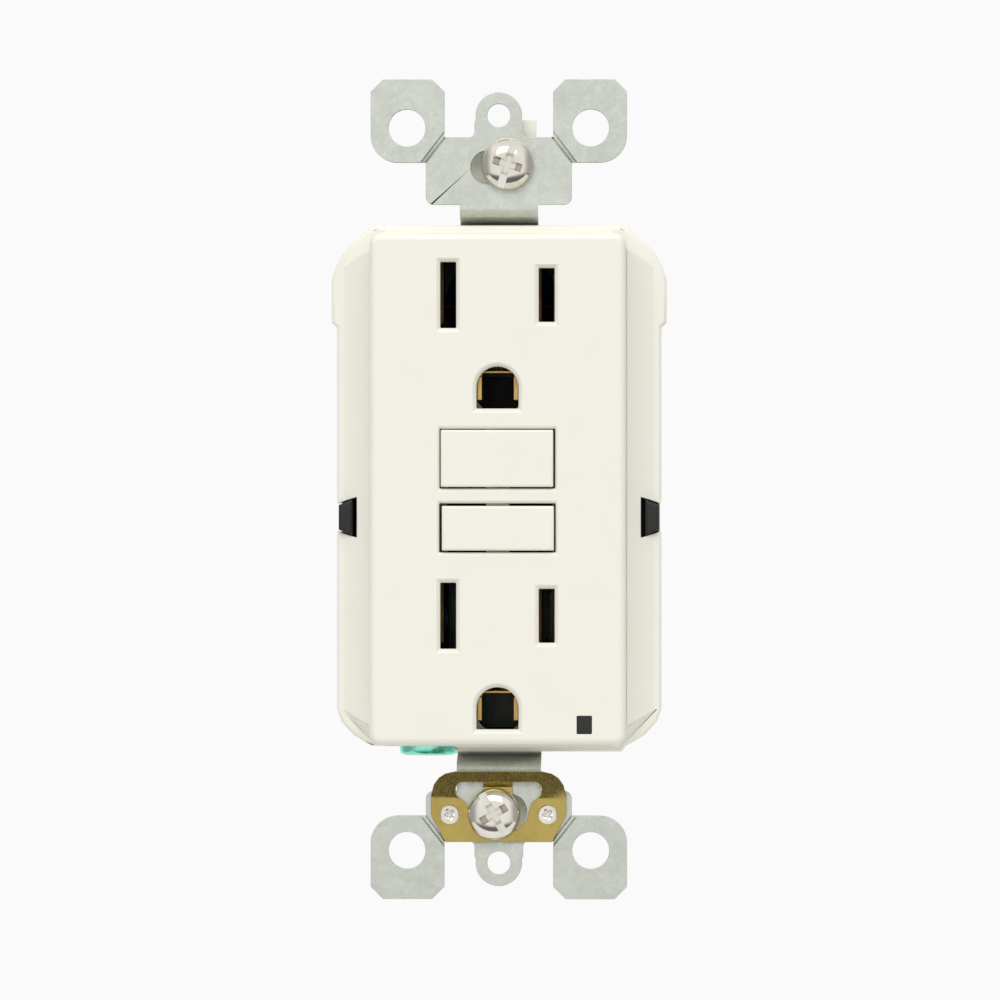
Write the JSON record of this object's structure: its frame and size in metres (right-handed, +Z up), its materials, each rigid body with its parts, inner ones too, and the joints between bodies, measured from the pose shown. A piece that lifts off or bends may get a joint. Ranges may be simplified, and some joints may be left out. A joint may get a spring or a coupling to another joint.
{
  "type": "gfci outlet",
  "caption": "Duplex ground-fault receptacle with test and reset buttons on a metal mounting strap, for a wall box.",
  "frame": {"origin": "middle of the strap's rear plane, midway between the two wallplate screw holes", "axes": "+Z up along the strap, -Y out of the wall towards the person, +X to that person's right"},
  "size_m": [0.0434, 0.0338, 0.1062],
  "materials": {
    "almond_plastic": "satin",
    "black_plastic": "fine grained",
    "white_plastic": "satin",
    "galvanised_steel": "dull zinc",
    "nickel_plate": "bright nickel",
    "zinc_plate": "zinc",
    "clip_brass": "bright",
    "contact_brass": "satin",
    "contact_silver": "satin silver",
    "green_screw": "green dyed zinc",
    "spring_steel": "drawn",
    "coil_iron": "zinc plated",
    "copper": "bare and enamelled",
    "ring_epoxy": "epoxy coated",
    "board_laminate": "solder mask",
    "component_black": "moulded",
    "absorber_blue": "epoxy dipped",
    "capacitor_yellow": "moulded",
    "resistor_body": "lacquered",
    "lamp_body": "clear",
    "smoked_lens": "smoked clear",
    "fibre": "pressed fibre"
  },
  "bodies": {
    "housing": {"front_cover": "almond_plastic", "rear_housing": "black_plastic", "middle_frame": "black_plastic", "solenoid_bobbin": "white_plastic", "mounting_strap": "galvanised_steel", "clip_rivets": "nickel_plate", "assembly_screws": "zinc_plate", "neutral_line_terminal": "zinc_plate", "self_grounding_clip": "clip_brass", "hot_line_terminal": "clip_brass", "upper_ground_contact": "contact_brass", "lower_ground_contact": "contact_brass", "hot_face_bar": "contact_brass", "neutral_face_bar": "contact_brass", "test_terminals": "contact_brass", "fixed_contacts": "contact_silver", "reset_spring": "spring_steel", "test_spring": "spring_steel", "plunger_spring": "spring_steel", "carrier_springs": "spring_steel", "solenoid_frame": "coil_iron", "solenoid_coil": "copper", "line_conductors": "copper", "fault_sensing_ring": "ring_epoxy", "neutral_sensing_ring": "ring_epoxy", "circuit_board": "board_laminate", "control_chip": "component_black", "trip_thyristor": "component_black", "surge_absorber": "absorber_blue", "filter_capacitor": "capacitor_yellow", "resistors": "resistor_body", "indicator_lamp": "lamp_body", "light_pipe": "smoked_lens"},
    "reset_button": {"reset_button": "almond_plastic", "reset_pin": "zinc_plate"},
    "test_button": {"test_button": "almond_plastic", "test_bridge": "contact_brass"},
    "solenoid_plunger": {"solenoid_plunger": "coil_iron"},
    "contact_carrier": {"contact_carrier": "white_plastic", "hot_contact_bridge": "contact_brass", "neutral_contact_bridge": "contact_brass", "moving_contacts": "contact_silver"},
    "latch_plate": {"latch_plate": "zinc_plate"},
    "ground_clamp": {"ground_clamp": "zinc_plate"},
    "ground_screw": {"ground_screw": "green_screw"},
    "upper_screw_retainer": {"upper_screw_retainer": "fibre"},
    "upper_mounting_screw": {"upper_mounting_screw": "nickel_plate"},
    "lower_screw_retainer": {"lower_screw_retainer": "fibre"},
    "lower_mounting_screw": {"lower_mounting_screw": "nickel_plate"},
    "hot_line_clamp": {"hot_line_clamp": "zinc_plate"},
    "hot_line_screw": {"hot_line_screw": "clip_brass"},
    "hot_load_clamp": {"hot_load_clamp": "zinc_plate"},
    "hot_load_screw": {"hot_load_screw": "clip_brass"},
    "neutral_line_clamp": {"neutral_line_clamp": "zinc_plate"},
    "neutral_line_screw": {"neutral_line_screw": "nickel_plate"},
    "neutral_load_clamp": {"neutral_load_clamp": "zinc_plate"},
    "neutral_load_screw": {"neutral_load_screw": "nickel_plate"}
  },
  "joints": [
    {"name": "reset_press", "type": "slide", "parent": "housing", "child": "reset_button", "axis": [0, 1, 0], "range_m": [0, 0.002], "stiffness_N_per_m": 900, "springref_m": -0.002, "deforming": ["reset_spring"]},
    {"name": "test_press", "type": "slide", "parent": "housing", "child": "test_button", "axis": [0, 1, 0], "range_m": [0, 0.0015], "stiffness_N_per_m": 900, "springref_m": -0.0015, "deforming": ["test_spring"]},
    {"name": "trip_plunger", "type": "slide", "parent": "housing", "child": "solenoid_plunger", "axis": [0, 0, 1], "range_m": [0, 0.0016], "stiffness_N_per_m": 300, "springref_m": -0.0016, "deforming": ["plunger_spring"]},
    {"name": "contact_opening", "type": "slide", "parent": "housing", "child": "contact_carrier", "axis": [0, 1, 0], "range_m": [0, 0.0016], "deforming": ["carrier_springs"]},
    {"name": "latch_release", "type": "slide", "parent": "contact_carrier", "child": "latch_plate", "axis": [0, 0, 1], "range_m": [0, 0.0016]},
    {"name": "hot_load_clamp_travel", "type": "slide", "parent": "housing", "child": "hot_load_clamp", "axis": [1, 0, 0], "range_m": [0, 0.0022]},
    {"name": "hot_load_screw_turn", "type": "hinge", "parent": "hot_load_clamp", "child": "hot_load_screw", "pos_m": [0.018, 0.0112, 0.0155], "axis": [1, 0, 0], "range_deg": [0, 1000]},
    {"name": "hot_line_clamp_travel", "type": "slide", "parent": "housing", "child": "hot_line_clamp", "axis": [1, 0, 0], "range_m": [0, 0.0022]},
    {"name": "hot_line_screw_turn", "type": "hinge", "parent": "hot_line_clamp", "child": "hot_line_screw", "pos_m": [0.018, 0.0112, -0.0155], "axis": [1, 0, 0], "range_deg": [0, 1000]},
    {"name": "neutral_load_clamp_travel", "type": "slide", "parent": "housing", "child": "neutral_load_clamp", "axis": [-1, 0, 0], "range_m": [0, 0.0022]},
    {"name": "neutral_load_screw_turn", "type": "hinge", "parent": "neutral_load_clamp", "child": "neutral_load_screw", "pos_m": [-0.018, 0.0112, 0.0155], "axis": [-1, 0, 0], "range_deg": [0, 1000]},
    {"name": "neutral_line_clamp_travel", "type": "slide", "parent": "housing", "child": "neutral_line_clamp", "axis": [-1, 0, 0], "range_m": [0, 0.0022]},
    {"name": "neutral_line_screw_turn", "type": "hinge", "parent": "neutral_line_clamp", "child": "neutral_line_screw", "pos_m": [-0.018, 0.0112, -0.0155], "axis": [-1, 0, 0], "range_deg": [0, 1000]},
    {"name": "ground_clamp_travel", "type": "slide", "parent": "housing", "child": "ground_clamp", "axis": [0, 0, -1], "range_m": [0, 0.0022]},
    {"name": "ground_screw_turn", "type": "hinge", "parent": "ground_clamp", "child": "ground_screw", "pos_m": [-0.0094, 0.0092, -0.0335], "axis": [0, 0, -1], "range_deg": [0, 1000]},
    {"name": "upper_screw_float", "type": "slide", "parent": "housing", "child": "upper_screw_retainer", "axis": [0, -1, 0], "range_m": [0, 0.0014]},
    {"name": "upper_screw_spin", "type": "hinge", "parent": "upper_screw_retainer", "child": "upper_mounting_screw", "pos_m": [0.00115, 0, 0.04205], "axis": [0, -1, 0], "continuous": true},
    {"name": "lower_screw_float", "type": "slide", "parent": "housing", "child": "lower_screw_retainer", "axis": [0, -1, 0], "range_m": [0, 0.0014]},
    {"name": "lower_screw_spin", "type": "hinge", "parent": "lower_screw_retainer", "child": "lower_mounting_screw", "pos_m": [-0.0006, 0, -0.04205], "axis": [0, -1, 0], "continuous": true}
  ],
  "couplings": [
    {"joint": "contact_opening", "follows": "trip_plunger", "ratio": 1},
    {"joint": "latch_release", "follows": "trip_plunger", "ratio": 1},
    {"joint": "hot_load_screw_turn", "follows": "hot_load_clamp_travel", "rad_per_m": 7915.8},
    {"joint": "hot_line_screw_turn", "follows": "hot_line_clamp_travel", "rad_per_m": 7915.8},
    {"joint": "neutral_load_screw_turn", "follows": "neutral_load_clamp_travel", "rad_per_m": 7915.8},
    {"joint": "neutral_line_screw_turn", "follows": "neutral_line_clamp_travel", "rad_per_m": 7915.8},
    {"joint": "ground_screw_turn", "follows": "ground_clamp_travel", "rad_per_m": 7915.8}
  ]
}
